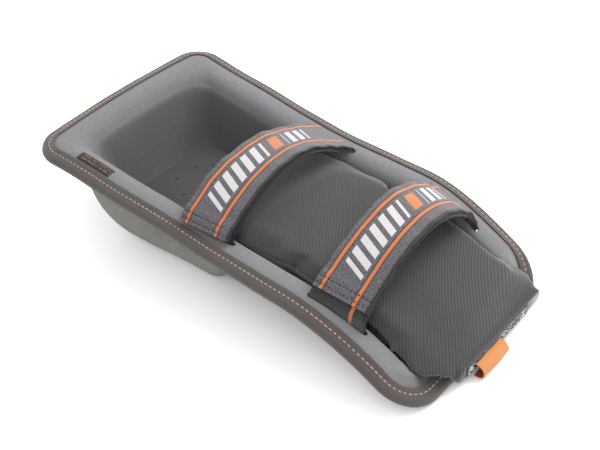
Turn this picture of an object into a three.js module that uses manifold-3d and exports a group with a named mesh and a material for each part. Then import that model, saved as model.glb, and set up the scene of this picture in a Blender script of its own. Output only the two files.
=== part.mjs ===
// Knee-and-shin work pad: a moulded foam shell with a deep knee cup and a long
// shin tray, a laminated liner, a sewn edge binding, a drop-in knee pad, a
// slide-in shin cushion with a fabric cover and two hook-and-loop leg straps.
// Millimetres, +Z up, +X towards the shin end, origin at the centre of the
// footprint on the ground.
import * as THREE from 'three';
import { mergeVertices } from 'three/addons/utils/BufferGeometryUtils.js';
import Module from 'manifold-3d';

const wasm = await Module();
wasm.setup();

// ---------------------------------------------------------------- dimensions
const LENGTH = 380;                 // rim length, knee end to shin end
const X0 = -LENGTH / 2, X1 = LENGTH / 2;
const RIM_X = [-190, -142.5, -95, -47.5, 0, 47.5, 95, 142.5, 190];
const RIM_HALF_WIDTH = [98.5, 94.8, 93.6, 91.2, 90.8, 91.5, 91.4, 89.6, 88.6];
const RIM_HEIGHT = [6.3, 5.3, 4.0, 2.7, 1.8, 4.0, 4.2, -10.2, -33.8];
const RIM_BOW = 4;                  // outward bow of the knee end
const KNEE_CORNER = 24, SHIN_CORNER = 32;
const GROUND_SLOPE = 0.12;          // the ground line climbs towards the shin end
const GROUND_X = -70, GROUND_Z = -72;
const CUP_FLOOR_OVER_GROUND = 20;   // knee cup floor above the ground line
const TRAY_FLOOR = -28;             // shin tray floor
const RAMP_A = -58, RAMP_B = -24;    // ramp from cup floor up to tray floor
const LINER = 1.6, GAP = 0.3;       // liner thickness, clearance between layers
const FLANGE = 4.1;                 // liner plus shell flange at the edge
const BINDING_W = 10.8, BINDING_T = 1.0;
const SOLE = 2.5;                   // non-slip sole thickness
const SHIN_UNDER = -39.4;           // underside of the shell below the shin tray
const NOTCH_UNDER = -32;            // underside of the shell between the two soles
const STRAP_W = 45, BAND_T = 2.0, LOWER_T = 1.8, HOOK_T = 1.2;
const STRAP_A_X = -10, STRAP_B_X = 111;
const PAD_T = 10.5;

const TILT = Math.atan(GROUND_SLOPE);
const COLORS = {
  shell: ['#8b8b86', 0.85], liner: ['#959597', 0.8], binding: ['#665f5a', 0.9], thread: ['#e39c72', 0.7],
  rubber: ['#2c2c2b', 0.75], webbing: ['#5d5a61', 0.85], hook: ['#161616', 0.9], cushion: ['#4f4e4d', 0.85],
  foam: ['#77766f', 0.9], pad: ['#4a4949', 0.7], label: ['#1c1c1e', 0.6], tab: ['#f7a45e', 0.6], orange: ['#e07b3a', 0.7],
};

// ------------------------------------------------------------------- helpers
function smooth(xs, ys, x) {
  if (x <= xs[0]) return ys[0];
  const n = xs.length - 1;
  if (x >= xs[n]) return ys[n];
  let i = 0;
  while (x > xs[i + 1]) i++;
  const m = (k) => (k <= 0 ? (ys[1] - ys[0]) / (xs[1] - xs[0]) : k >= n ? (ys[n] - ys[n - 1]) / (xs[n] - xs[n - 1])
    : (ys[k + 1] - ys[k - 1]) / (xs[k + 1] - xs[k - 1]));
  const h = xs[i + 1] - xs[i], t = (x - xs[i]) / h, t2 = t * t, t3 = t2 * t;
  return (2 * t3 - 3 * t2 + 1) * ys[i] + (t3 - 2 * t2 + t) * h * m(i) + (-2 * t3 + 3 * t2) * ys[i + 1] + (t3 - t2) * h * m(i + 1);
}
const lerp = (a, b, t) => a + (b - a) * t;
const clamp = (v, a, b) => Math.min(b, Math.max(a, v));
const ease = (t) => { const u = clamp(t, 0, 1); return u * u * (3 - 2 * u); };
const halfWidth = (x) => smooth(RIM_X, RIM_HALF_WIDTH, x);
const rimZ = (x) => smooth(RIM_X, RIM_HEIGHT, x);
const ground = (x) => GROUND_Z + GROUND_SLOPE * (x - GROUND_X);
const floorZ = (x) => lerp(ground(x) + CUP_FLOOR_OVER_GROUND, TRAY_FLOOR, ease((x - RAMP_A) / (RAMP_B - RAMP_A)));
const underZ = (x) => {
  const dome = ground(x) + SOLE + GAP;
  if (x < -24) return dome;
  if (x < 10) return lerp(ground(-24) + SOLE + GAP, NOTCH_UNDER, ease((x + 24) / 34));
  if (x < 30) return lerp(NOTCH_UNDER, SHIN_UNDER, ease((x - 14) / 16));
  return lerp(SHIN_UNDER, dome, ease((x - 112) / 28));
};

// One half ring in plan: knee end middle, knee corner, side, shin corner, shin end middle.
const N_END = 2, N_CORNER = 4;
const SIDE = [0, 0.08, 0.16, 0.24, 0.32, 0.385, 0.43, 0.475, 0.52, 0.565, 0.63, 0.71, 0.79, 0.87, 0.94, 1];
const N_HALF = 2 * N_END + 2 * N_CORNER + SIDE.length - 1;
function halfRing(side, knee, shin, rk, rs, bow) {
  const xk = X0 + knee, xs = X1 - shin, pts = [];
  const hk = halfWidth(xk + rk) - side, hs = halfWidth(xs - rs) - side;
  const bowX = (y) => bow * (1 - (y / (hk - rk * 0.4)) ** 2);
  for (let i = 0; i < N_END; i++) { const y = (hk - rk) * i / N_END; pts.push([xk - bowX(y), y]); }
  for (let i = 0; i <= N_CORNER; i++) {
    const a = Math.PI - (Math.PI / 2) * i / N_CORNER, y = hk - rk + rk * Math.sin(a);
    pts.push([xk + rk + rk * Math.cos(a) - bowX(hk - rk) * (1 - i / N_CORNER), y]);
  }
  const a = xk + rk, b = xs - rs;
  for (let i = 1; i < SIDE.length; i++) { const x = lerp(a, b, SIDE[i]); pts.push([x, halfWidth(x) - side]); }
  for (let i = 1; i <= N_CORNER; i++) {
    const t = Math.PI / 2 - (Math.PI / 2) * i / N_CORNER;
    pts.push([xs - rs + rs * Math.cos(t), hs - rs + rs * Math.sin(t)]);
  }
  for (let i = 1; i <= N_END; i++) pts.push([xs, (hs - rs) * (1 - i / N_END)]);
  return pts;
}
const PARENT = halfRing(0, 0, 0, KNEE_CORNER, SHIN_CORNER, RIM_BOW);
const N_RING = 2 * N_HALF;
// full ring, counter-clockwise seen from above starts at the knee end middle and runs along -Y first
function fullRing(half, z) {
  const out = [];
  for (let i = 0; i <= N_HALF; i++) out.push(new THREE.Vector3(half[i][0], -half[i][1], z(i, half[i][0])));
  for (let i = N_HALF - 1; i > 0; i--) out.push(new THREE.Vector3(half[i][0], half[i][1], z(i, half[i][0])));
  return out;
}
const mirrorIndex = (i) => (i === 0 || i === N_HALF ? i : N_RING - i);

class Builder {
  constructor() { this.v = []; this.f = []; }
  add(p) { this.v.push(p.x, p.y, p.z); return this.v.length / 3 - 1; }
  ring(r) { return r.map((p) => this.add(p)); }
  // joins ring a to ring b; with both counter-clockwise and b inside or above a the face looks up and in
  join(a, b, flip = false, turn = false) {
    const n = a.length;
    for (let i = 0; i < n; i++) {
      const j = (i + 1) % n;
      const q = [a[i], a[j], b[j], b[i]];
      if (turn) { this.f.push(q[0], q[1], q[3], q[1], q[2], q[3]); continue; }
      if (flip) this.f.push(q[0], q[3], q[2], q[0], q[2], q[1]); else this.f.push(q[0], q[1], q[2], q[0], q[2], q[3]);
    }
  }
  // closes a ring across its length with a middle line of points
  cap(ring, mid, flip = false) {
    const t = (p, q, r) => (flip ? this.f.push(p, r, q) : this.f.push(p, q, r));
    const a = N_END + N_CORNER, b = N_HALF - a;
    for (let i = 0; i < a; i++) {
      t(mid[0], ring[i], ring[i + 1]);
      t(mid[0], ring[mirrorIndex(i + 1)], ring[mirrorIndex(i)]);
    }
    for (let i = a; i < b; i++) {
      const m = mid[i - a], n = mid[i - a + 1];
      t(m, ring[i], ring[i + 1]); t(m, ring[i + 1], n);
      t(m, n, ring[mirrorIndex(i + 1)]); t(m, ring[mirrorIndex(i + 1)], ring[mirrorIndex(i)]);
    }
    const e = mid[b - a];
    for (let i = b; i < N_HALF; i++) {
      t(e, ring[i], ring[i + 1]);
      t(e, ring[mirrorIndex(i + 1)], ring[mirrorIndex(i)]);
    }
  }
  geometry() {
    const g = new THREE.BufferGeometry();
    g.setAttribute('position', new THREE.Float32BufferAttribute(this.v, 3));
    g.setIndex(this.f);
    return g;
  }
}

// ---------------------------------------------------- liner / shell surfaces
const LIN = {                        // inward offsets of the upper surface, side / knee end / shin end
  side: [1.9, 11.5, 17, 22, 26.5, 30, 33, 36.5, 40.5, 46.5],
  knee: [1.9, 11.5, 17, 21.5, 25.5, 29.5, 34, 43, 48.5, 56],
  shin: [1.9, 11.5, 17, 22, 26.5, 30, 33, 36.5, 40.5, 46.5],
  rk: [22.1, 12.5, 12, 13, 15, 17, 19, 22, 24, 25],
  rs: [30.1, 20.5, 17, 16, 16, 16, 17, 18, 20, 22],
  bow: [4, 4, 4, 4, 4, 4, 4, 3, 2, 2],
};
const DROP = [0, 0, 0, 0.9, 4.0, 9.5, 17];
const linerRaw = (j) => {
  const half = halfRing(LIN.side[j], LIN.knee[j], LIN.shin[j], LIN.rk[j], LIN.rs[j], LIN.bow[j]);
  return fullRing(half, (i, x) => {
    const zr = rimZ(PARENT[i][0]), side = x > 0 && j > 1 ? ease((half[i][1] - 56) / 8) : 0;
    const crest = lerp(zr, rimZ(x), side) + 5.4, d = crest - floorZ(x), q = clamp(d / 36, -0.1, 1);
    if (j === 0) return zr + 0.8 + 0.31 * 1.9;
    if (j === 1) return zr + 0.8 + 0.31 * 11.5;
    if (j <= 6) return crest - DROP[j] * q;
    const f = [0.62, 0.9, 1][j - 7];
    return crest - (17 * q + (d - 17 * q) * f);
  });
};
const LIN_RINGS = LIN.side.map((_, j) => linerRaw(j));
const A_CAP = N_END + N_CORNER;
const midLine = (ring, z) => {
  const out = [];
  for (let i = A_CAP; i <= N_HALF - A_CAP; i++) out.push(new THREE.Vector3(ring[i].x, 0, z(ring[i].x)));
  return out;
};
// normals of the ring surface, then an offset copy
function offsetRings(rings, d) {
  return rings.map((ring, j) => ring.map((p, i) => {
    const n = ring.length;
    const around = ring[(i + 1) % n].clone().sub(ring[(i + n - 1) % n]);
    const inner = rings[Math.min(j + 1, rings.length - 1)][i], outer = rings[Math.max(j - 1, 0)][i];
    const across = inner.clone().sub(outer);
    if (j === rings.length - 1) { across.z *= 0.35; }
    const nn = around.cross(across).normalize();
    if (nn.z < 0) nn.negate();
    return p.clone().addScaledVector(nn, -d);
  }));
}
const shift = (pts, dz) => pts.map((p) => new THREE.Vector3(p.x, p.y, p.z + dz));
const LIN_MID = midLine(LIN_RINGS[9], floorZ);

function linerGeometry() {
  const b = new Builder();
  const top = LIN_RINGS.map((r) => b.ring(r));
  const low = offsetRings(LIN_RINGS, LINER).map((r) => b.ring(r));
  const mt = b.ring(LIN_MID), ml = b.ring(shift(LIN_MID, -LINER));
  for (let j = 0; j < 9; j++) { b.join(top[j], top[j + 1]); b.join(low[j], low[j + 1], true); }
  b.cap(top[9], mt); b.cap(low[9], ml, true);
  b.join(low[0], top[0]);
  return b.geometry();
}

const OUT = {                        // underside: flange, wall, turn and flat base
  side: [1.9, 13, 24, 25, 22.2, 20.6, 21.2, 24.5, 30, 38, 48],
  knee: [1.9, 13, 20, 22, 24, 27, 33, 41, 50, 60, 72],
  shin: [1.9, 10, 13, 14, 15, 16, 18, 20, 23, 27, 32],
  rk: [22.1, 11, 12, 14, 18, 22, 24, 26, 28, 28, 26],
  rs: [30.1, 19, 18, 18, 19, 20, 20, 20, 20, 20, 20],
  bow: [4, 4, 4, 4, 4, 4, 4, 4, 3, 2, 0],
  g: [0, 0, 0, 0.05, 0.25, 0.45, 0.63, 0.79, 0.91, 0.98, 1],
};
function outRing(j) {
  const half = halfRing(OUT.side[j], OUT.knee[j], OUT.shin[j], OUT.rk[j], OUT.rs[j], OUT.bow[j]);
  return fullRing(half, (i, x) => {
    const zr = rimZ(PARENT[i][0]);
    const flange = (o) => zr + 0.8 + 0.31 * Math.min(o, 13) - FLANGE;
    if (j < 3) return flange(OUT.side[j]) - (j === 2 ? 0.6 : 0);
    return lerp(flange(13) - 0.6, underZ(x), OUT.g[j]);
  });
}
function shellGeometry() {
  const b = new Builder();
  const top = offsetRings(LIN_RINGS, LINER + GAP).map((r) => b.ring(r));
  const mt = b.ring(shift(LIN_MID, -LINER - GAP));
  const raw = OUT.side.map((_, j) => outRing(j));
  const low = raw.map((r) => b.ring(r));
  const ml = b.ring(midLine(raw[10], underZ));
  for (let j = 0; j < 9; j++) b.join(top[j], top[j + 1]);
  for (let j = 0; j < 10; j++) b.join(low[j], low[j + 1], true);
  b.cap(top[9], mt); b.cap(low[10], ml, true);
  b.join(low[0], top[0]);
  return b.geometry();
}

// edge binding: a folded tape round the whole rim, closed C section
const tapeRing = (o, dz) => fullRing(halfRing(o, o, o, KNEE_CORNER - o, SHIN_CORNER - o, RIM_BOW), (i) => rimZ(PARENT[i][0]) + dz(o));
const lip = (o) => 0.8 + 0.31 * o;
const bot = (o) => lip(o) - FLANGE;
function loopGeometry(profile) {
  const b = new Builder();
  const rings = profile.map(([o, dz]) => b.ring(tapeRing(o, () => dz)));
  for (let k = 0; k < rings.length; k++) { const l = (k + 1) % rings.length; b.join(rings[k], rings[l], false, profile[k][0] > profile[l][0]); }
  return b.geometry();
}
const BIND = [
  [BINDING_W, bot(BINDING_W) - GAP], [BINDING_W, bot(BINDING_W) - GAP - BINDING_T], [1.6, bot(1.6) - GAP - BINDING_T * 0.9], [0, bot(0) + 0.7],
  [0, lip(0) - 0.7], [1.6, lip(1.6) + GAP + BINDING_T * 0.9], [BINDING_W, lip(BINDING_W) + GAP + BINDING_T], [BINDING_W, lip(BINDING_W) + GAP],
  [1.6, lip(1.6) + GAP], [1.6, bot(1.6) - GAP],
];
const STITCH_O = 6.2, STITCH_Z = lip(STITCH_O) + GAP + BINDING_T * 0.95 + 0.45;
const STITCH = [[STITCH_O - 0.5, STITCH_Z], [STITCH_O - 0.5, STITCH_Z + 0.7], [STITCH_O + 0.5, STITCH_Z + 1.0], [STITCH_O + 0.5, STITCH_Z + 0.3]];

// --------------------------------------------------------- solids with cuts
function toManifold(g) {
  const p = g.clone();
  p.deleteAttribute('normal'); p.deleteAttribute('uv');
  const m = mergeVertices(p, 1e-4);
  return new wasm.Manifold(new wasm.Mesh({ numProp: 3, vertProperties: new Float32Array(m.attributes.position.array), triVerts: new Uint32Array(m.index.array) }));
}
function fromManifold(m) {
  const r = m.getMesh(), g = new THREE.BufferGeometry();
  g.setAttribute('position', new THREE.BufferAttribute(new Float32Array(r.vertProperties), 3));
  g.setIndex(new THREE.BufferAttribute(new Uint32Array(r.triVerts), 1));
  return g;
}
// strap slots: half a slot's slant, its middle distance from the centre line and its place along the rim
const SLOTS = [
  { x: STRAP_A_X, y: 73, slant: 2.5, top: 20, low: -14 },
  { x: STRAP_B_X, y: 71, slant: 3.0, top: 26, low: -14 },
];
function slotCutters() {
  const out = [];
  for (const s of SLOTS) for (const side of [-1, 1]) {
    const g = new THREE.BoxGeometry(STRAP_W + 3.6, 4.6, s.top - s.low);
    g.rotateZ(-side * Math.atan2(2 * s.slant, STRAP_W));
    g.translate(s.x, side * s.y, (s.top + s.low) / 2);
    out.push(toManifold(g));
  }
  return out;
}
function withSlots(g) {
  let m = toManifold(g);
  for (const c of slotCutters()) m = m.subtract(c);
  return fromManifold(m);
}

// ------------------------------------------------------------------- plates
// a plate in plan with rounded corners whose faces follow zLow(x) and zTop(x)
function plate(xa, xb, hy, r, zLow, zTop, stations = 2, nc = 4, yc = 0) {
  const half = [];
  for (let i = 0; i <= nc; i++) { const a = Math.PI - (Math.PI / 2) * i / nc; half.push([xa + r + r * Math.cos(a), hy - r + r * Math.sin(a)]); }
  const along = Array.isArray(stations) ? stations : Array.from({ length: stations - 1 }, (_, i) => lerp(xa + r, xb - r, (i + 1) / stations));
  for (const x of along) half.push([x, hy]);
  for (let i = 0; i <= nc; i++) { const a = Math.PI / 2 - (Math.PI / 2) * i / nc; half.push([xb - r + r * Math.cos(a), hy - r + r * Math.sin(a)]); }
  const b = new Builder(), n = half.length;
  const idx = (zf) => half.map(([x, y]) => [b.add(new THREE.Vector3(x, yc - y, zf(x))), b.add(new THREE.Vector3(x, yc + y, zf(x)))]);
  const lo = idx(zLow), hi = idx(zTop);
  for (let i = 0; i < n - 1; i++) {
    const [a, A] = lo[i], [c, C] = lo[i + 1], [p, P] = hi[i], [q, Q] = hi[i + 1];
    b.f.push(a, A, C, a, C, c);
    b.f.push(p, q, Q, p, Q, P);
    b.f.push(a, c, q, a, q, p);
    b.f.push(A, P, Q, A, Q, C);
  }
  b.f.push(lo[0][0], hi[0][0], hi[0][1], lo[0][0], hi[0][1], lo[0][1]);
  const e = n - 1;
  b.f.push(lo[e][0], lo[e][1], hi[e][1], lo[e][0], hi[e][1], hi[e][0]);
  return b.geometry();
}

// ------------------------------------------------------------------- straps
// path of [y, z] points, offset by d along its left normal
function offsetPath(path, d) {
  return path.map((p, i) => {
    const a = path[Math.max(i - 1, 0)], c = path[Math.min(i + 1, path.length - 1)];
    const t = [c[0] - a[0], c[1] - a[1]], l = Math.hypot(t[0], t[1]);
    return [p[0] - t[1] / l * d, p[1] + t[0] / l * d];
  });
}
function ribbon(path, thick, xm, width, slant, lean = () => 0) {
  const hi = offsetPath(path, thick / 2), lo = offsetPath(path, -thick / 2), b = new Builder(), rows = [];
  for (let i = 0; i < path.length; i++) {
    const at = (p, sx) => {
      const x = sx * width / 2;
      return b.add(new THREE.Vector3(xm + x, p[0] * (1 - slant / Math.abs(71) * sx), p[1] + lean(path[i]) * x));
    };
    rows.push([at(lo[i], -1), at(lo[i], 1), at(hi[i], 1), at(hi[i], -1)]);
  }
  for (let i = 0; i < rows.length - 1; i++) for (let k = 0; k < 4; k++) {
    const j = (k + 1) % 4, a = rows[i], c = rows[i + 1];
    if (k === 2) b.f.push(a[k], c[k], a[j], c[k], c[j], a[j]);   // both faces twist along the same diagonal
    else b.f.push(a[k], c[k], c[j], a[k], c[j], a[j]);
  }
  const s = rows[0], e = rows[rows.length - 1];
  b.f.push(s[0], s[1], s[2], s[0], s[2], s[3]);
  b.f.push(e[0], e[3], e[2], e[0], e[2], e[1]);
  return b.geometry();
}
const UPPER_A = [[-77.6, 11.6], [-73.4, 17.6], [-66.5, 23.4], [-57, 30], [-42, 37.4], [-25, 42.2], [-8, 43.6], [8, 41.8], [25, 36.4], [40, 29.4], [54, 21.2], [65, 14.6], [71.2, 10.6], [73, 8.4]];
const UPPER_B = [[-68.4, 16.4], [-61, 22], [-49, 30], [-35, 38], [-18, 44.8], [0, 48], [14, 47.2], [30, 42.2], [44, 34.4], [56, 24.6], [65, 15.4], [70, 9.6], [71.2, 7.8]];
const LAYER_GAP = 0.45;
const HOOK_D = -(BAND_T / 2 + LAYER_GAP + HOOK_T / 2), LOWER_D = -(BAND_T / 2 + LAYER_GAP + HOOK_T + LAYER_GAP + LOWER_T / 2);
const HOOK_A = offsetPath(UPPER_A, HOOK_D).slice(0, 11), HOOK_B = offsetPath(UPPER_B, HOOK_D).slice(1, 10);
const LOWER_A = [[-73, -13.5], [-73, 2], [-72.6, 9], ...offsetPath(UPPER_A, LOWER_D).slice(2, 11)];
const LOWER_B = [[-71, -10.5], [-71, -2], [-70.9, 7], [-68.8, 12.8], ...offsetPath(UPPER_B, LOWER_D).slice(1, 10)];
const TAIL_A = [[73, 5.6], [73, -1], [73, -13.5]], TAIL_B = [[71, 6.4], [71, -2], [71, -8.5]];
const LEAN_A = 0.12, LEAN_B = -0.2;
const leanA = (k) => (p) => LEAN_A * ease((p[0] * k + 50) / 46) * ease((70 - p[0] * k) / 46);
const leanFar = (p) => LEAN_B * ease((p[0] - 57) / 13);
const leanNear = (p) => LEAN_B * 0.45 * ease((-p[0] - 40) / 28);
const leanB = (p) => leanFar(p) + leanNear(p);

// ------------------------------------------------------------------ cushion
const C_X = [-20, -17, -8, 12, 45, 78, 108, 132, 154, 174, 187, 192, 194.6];
const C_EDGE = [-13, -7, -3.5, -1.8, 0.8, 3.0, 4.0, -1, -6.5, -11.5, -15, -16.8, -18.8];
const C_CROWN = [2, 4, 5.6, 7.6, 6.6, 4.6, 3.4, 3.4, 3.8, 3.6, 2.6, 1.8, 1.2];
const C_HALF = [54, 56, 58.5, 60.2, 61.2, 62, 63, 62.8, 62.2, 62, 60, 57.5, 53.5];
const C_WALL = [[52.6, 0.21], [56, 0.535], [58.6, 0.785]];   // side wall between the foot and the top edge
function cushion(inset, bottom, bottomInset = inset, sideInset = inset) {
  const b = new Builder(), rows = [];
  const n = C_X.length;
  for (let i = 0; i < n; i++) {
    const x = i < n / 2 ? C_X[i] + inset * (i === 0 ? 1 : i === 1 ? 0.8 : 0) : C_X[i] - inset * (i === n - 1 ? 1 : i === n - 2 ? 0.8 : i === n - 3 ? 0.4 : 0);
    const h = C_HALF[i] - sideInset, e = C_EDGE[i] - inset, c = C_CROWN[i];
    const zt = (y) => e + c * (1 - (y / h) ** 2);
    const foot = Math.min(h, 48.5 - bottomInset);
    const wall = C_WALL.map(([y, f]) => [Math.min(y - inset, h - 0.4 + f * 0.2), Math.min(lerp(bottom, C_EDGE[i], f), e - 0.5 * (1 - f))]);
    const sec = [[-foot, bottom], ...wall.map(([y, z]) => [-y, z])];
    for (const k of [-1, -0.9, -0.5, 0, 0.5, 0.9, 1]) sec.push([k * h, zt(k * h)]);
    sec.push(...wall.reverse(), [foot, bottom]);
    rows.push(sec.map(([y, z]) => b.add(new THREE.Vector3(x, y, Math.max(z, bottom)))));
  }
  const m = rows[0].length;
  for (let i = 0; i < n - 1; i++) for (let k = 0; k < m; k++) {
    const j = (k + 1) % m, a = rows[i], c = rows[i + 1];
    b.f.push(a[k], c[k], c[j], a[k], c[j], a[j]);
  }
  const fan = (row, flip) => {
    for (let k = 1; k < m - 1; k++) { if (flip) b.f.push(row[0], row[k + 1], row[k]); else b.f.push(row[0], row[k], row[k + 1]); }
  };
  fan(rows[0], false); fan(rows[n - 1], true);
  return b.geometry();
}
const COVER_BOTTOM = -23.4;
function coverGeometry() {
  // hood over the shin end of the rim, then the hollow for the core and the open underside
  const hood = plate(190.8, 196.2, 53, 2.4, () => -38, () => -18.6, 2, 3, 7);
  const below = plate(-18.4, 193.3, 47.2, 2, () => -41, () => COVER_BOTTOM + 0.4, 2, 2);
  const m = toManifold(cushion(0, COVER_BOTTOM)).add(toManifold(hood));
  const bodies = m.subtract(toManifold(cushion(1.1, COVER_BOTTOM, 1.1)).add(toManifold(below))).decompose();
  return fromManifold(bodies.sort((a, b) => b.volume() - a.volume())[0]);
}

// ------------------------------------------------------------------ knee pad
const padTop = (x) => ground(x) + CUP_FLOOR_OVER_GROUND + 3.2 + PAD_T;
const padLow = (x) => ground(x) + CUP_FLOOR_OVER_GROUND + 3.2;

// ------------------------------------------------------------------ rim label
function rimLabel() {
  const b = new Builder(), rows = [], xs = [-147.5, -135.5, -123.5, -111.5];
  const zAt = (x, o) => rimZ(x) + (o < 17 ? lerp(lip(11.5), 5.4, (o - 11.5) / 5.5) : lerp(5.4, 4.5, (o - 17) / 5)) + 0.5;
  for (const x of xs) {
    const r = [];
    for (const o of [12, 17, 20]) r.push([-(halfWidth(x) - o), zAt(x, o)]);
    rows.push([...r.map(([y, z]) => b.add(new THREE.Vector3(x, y, z))), ...r.reverse().map(([y, z]) => b.add(new THREE.Vector3(x, y, z + 0.7)))]);
  }
  for (let i = 0; i < rows.length - 1; i++) for (let k = 0; k < 6; k++) {
    const j = (k + 1) % 6, a = rows[i], c = rows[i + 1];
    b.f.push(a[k], c[k], c[j], a[k], c[j], a[j]);
  }
  const s = rows[0], e = rows[rows.length - 1];
  b.f.push(s[0], s[1], s[4], s[0], s[4], s[5], s[1], s[2], s[3], s[1], s[3], s[4]);
  b.f.push(e[0], e[4], e[1], e[0], e[5], e[4], e[1], e[3], e[2], e[1], e[4], e[3]);
  for (let i = 0; i < b.f.length; i += 3) [b.f[i + 1], b.f[i + 2]] = [b.f[i + 2], b.f[i + 1]];
  return b.geometry();
}

// ------------------------------------------------------------------ pull tab
function tabGeometry() {
  // a short ribbon folded into a loop, open at both sides
  const outer = [[197.4, -24.4], [200.6, -24.6], [203.6, -26.4], [205.4, -29.4], [205.6, -32.6], [204.2, -35.6], [201, -37.2], [197.4, -37.6]];
  const inner = [[197.4, -36.4], [200.6, -36.1], [203.2, -34.9], [204.3, -32.4], [204.2, -29.8], [202.8, -27.4], [200.3, -25.8], [197.4, -25.6]];
  const shape = new THREE.Shape([...outer, ...inner].map(([x, z]) => new THREE.Vector2(x, z)));
  const g = new THREE.ExtrudeGeometry(shape, { depth: 31, bevelEnabled: false, steps: 1 });
  // the section lies in X-Z and the ribbon's width runs along Y
  g.applyMatrix4(new THREE.Matrix4().set(1, 0, 0, 0, 0, 0, -1, 7, 0, 1, 0, 0, 0, 0, 0, 1));
  return g;
}

// -------------------------------------------------------------------- tree
const group = new THREE.Group();
const inner = new THREE.Group();
group.add(inner);
function node(name, geometry, slot) {
  const [color, roughness] = COLORS[slot];
  const mesh = new THREE.Mesh(geometry, new THREE.MeshStandardMaterial({ color, roughness, metalness: 0 }));
  mesh.name = name;
  inner.add(mesh);
  return mesh;
}
const xBox = (xa, xb, ya, yb, za, zb) => new THREE.BoxGeometry(xb - xa, yb - ya, zb - za).translate((xa + xb) / 2, (ya + yb) / 2, (za + zb) / 2);

node('outer_shell', withSlots(shellGeometry()), 'shell');
node('inner_liner', withSlots(linerGeometry()), 'liner');
node('rim_binding', loopGeometry(BIND), 'binding');
node('rim_stitching', loopGeometry(STITCH), 'thread');
node('knee_outsole', plate(-116, -26, 42, 24, (x) => ground(x), (x) => ground(x) + SOLE, 3, 5), 'rubber');
node('shin_outsole', plate(39, 157, 39, 12, (x) => underZ(x) - GAP - SOLE, (x) => underZ(x) - GAP, [52.9, 71.3, 89.7, 108.1, 124.2, 138], 4), 'rubber');
node('rim_label', rimLabel(), 'label');

node('knee_pad', plate(-137, -62, 47.2, 23, padLow, padTop, 3, 5), 'pad');
node('knee_pad_hook_patch', plate(-116, -72, 26, 6, (x) => padLow(x) - GAP - 1.0, (x) => padLow(x) - GAP, 2, 3), 'hook');
node('cup_loop_patch', plate(-118, -70, 28, 6, (x) => floorZ(x) + GAP, (x) => floorZ(x) + GAP + 1.1, 2, 3), 'hook');

node('shin_cushion_cover', coverGeometry(), 'cushion');
node('shin_cushion_core', cushion(1.8, COVER_BOTTOM, 1.8, 3.4), 'foam');
node('cushion_base_sheet', plate(-17.4, 192.4, 46.5, 5, () => -24.9, () => -23.7, 2, 3), 'cushion');
node('cushion_hook_patch', plate(60, 130, 26, 6, () => -26.2, () => -25.2, 2, 3), 'hook');
node('tray_loop_patch', plate(57, 133, 29, 6, () => TRAY_FLOOR + GAP, () => TRAY_FLOOR + GAP + 1.1, 2, 3), 'hook');
node('care_label', xBox(196.5, 197.2, -34, 44, -31, -20.4), 'label');
node('pull_tab', tabGeometry(), 'tab');

node('strap_a_upper_band', ribbon(UPPER_A, BAND_T, STRAP_A_X, STRAP_W, 2.5, leanA(1)), 'webbing');
node('strap_a_hook_tape', ribbon(HOOK_A, HOOK_T, STRAP_A_X, STRAP_W - 2, 2.5, leanA(1.028)), 'hook');
node('strap_a_lower_band', ribbon(LOWER_A, LOWER_T, STRAP_A_X, STRAP_W, 2.5, leanA(1.055)), 'webbing');
node('strap_a_anchor_tail', ribbon(TAIL_A, BAND_T, STRAP_A_X, STRAP_W, 2.5), 'webbing');
node('strap_b_upper_band', ribbon(UPPER_B, BAND_T, STRAP_B_X, STRAP_W, 3.0, leanB), 'webbing');
node('strap_b_hook_tape', ribbon(HOOK_B, HOOK_T, STRAP_B_X, STRAP_W - 2, 3.0, leanB), 'hook');
node('strap_b_lower_band', ribbon(LOWER_B, LOWER_T, STRAP_B_X, STRAP_W, 3.0, leanB), 'webbing');
node('strap_b_anchor_tail', ribbon(TAIL_B, BAND_T, STRAP_B_X, STRAP_W, 3.0, leanB), 'webbing');

// stand the pad on the ground: turn by the ground slope, then centre the footprint
inner.rotation.y = TILT;
group.updateMatrixWorld(true);
const box = new THREE.Box3();
group.traverse((o) => { if (o.isMesh) box.expandByObject(o, true); });
inner.position.set(-(box.min.x + box.max.x) / 2, 0, -(GROUND_Z - GROUND_SLOPE * GROUND_X) * Math.cos(TILT));
group.updateMatrixWorld(true);

export default group;
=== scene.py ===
import math
import random
import bpy
import bmesh
import numpy as np
from mathutils import Matrix, Vector


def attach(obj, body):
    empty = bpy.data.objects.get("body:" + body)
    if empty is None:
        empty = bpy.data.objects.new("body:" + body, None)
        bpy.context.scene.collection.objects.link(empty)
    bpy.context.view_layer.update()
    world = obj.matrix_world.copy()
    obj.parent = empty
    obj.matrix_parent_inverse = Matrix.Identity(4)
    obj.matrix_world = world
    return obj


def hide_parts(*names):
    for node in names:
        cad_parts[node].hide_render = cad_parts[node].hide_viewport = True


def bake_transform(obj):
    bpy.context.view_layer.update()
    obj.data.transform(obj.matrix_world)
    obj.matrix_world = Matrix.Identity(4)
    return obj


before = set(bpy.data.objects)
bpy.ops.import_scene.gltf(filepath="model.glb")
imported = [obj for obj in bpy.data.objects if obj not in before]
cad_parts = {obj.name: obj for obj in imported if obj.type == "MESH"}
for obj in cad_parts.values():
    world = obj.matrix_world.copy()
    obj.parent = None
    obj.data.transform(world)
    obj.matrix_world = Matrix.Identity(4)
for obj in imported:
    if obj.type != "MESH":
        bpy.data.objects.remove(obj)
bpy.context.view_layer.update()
rng = random.Random(7)
scene = bpy.context.scene

# ------------------------------------------------------------------ frame
TILT = math.atan(0.12)
CO, SI = math.cos(TILT), math.sin(TILT)
PX, PZ = -4.128378890, 63.146966928


def W(p):
    p = np.asarray(p, float)
    x, y, z = p[..., 0], p[..., 1], p[..., 2]
    return np.stack([(x * CO + z * SI + PX), y, (-x * SI + z * CO + PZ)], -1) / 1000


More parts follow.
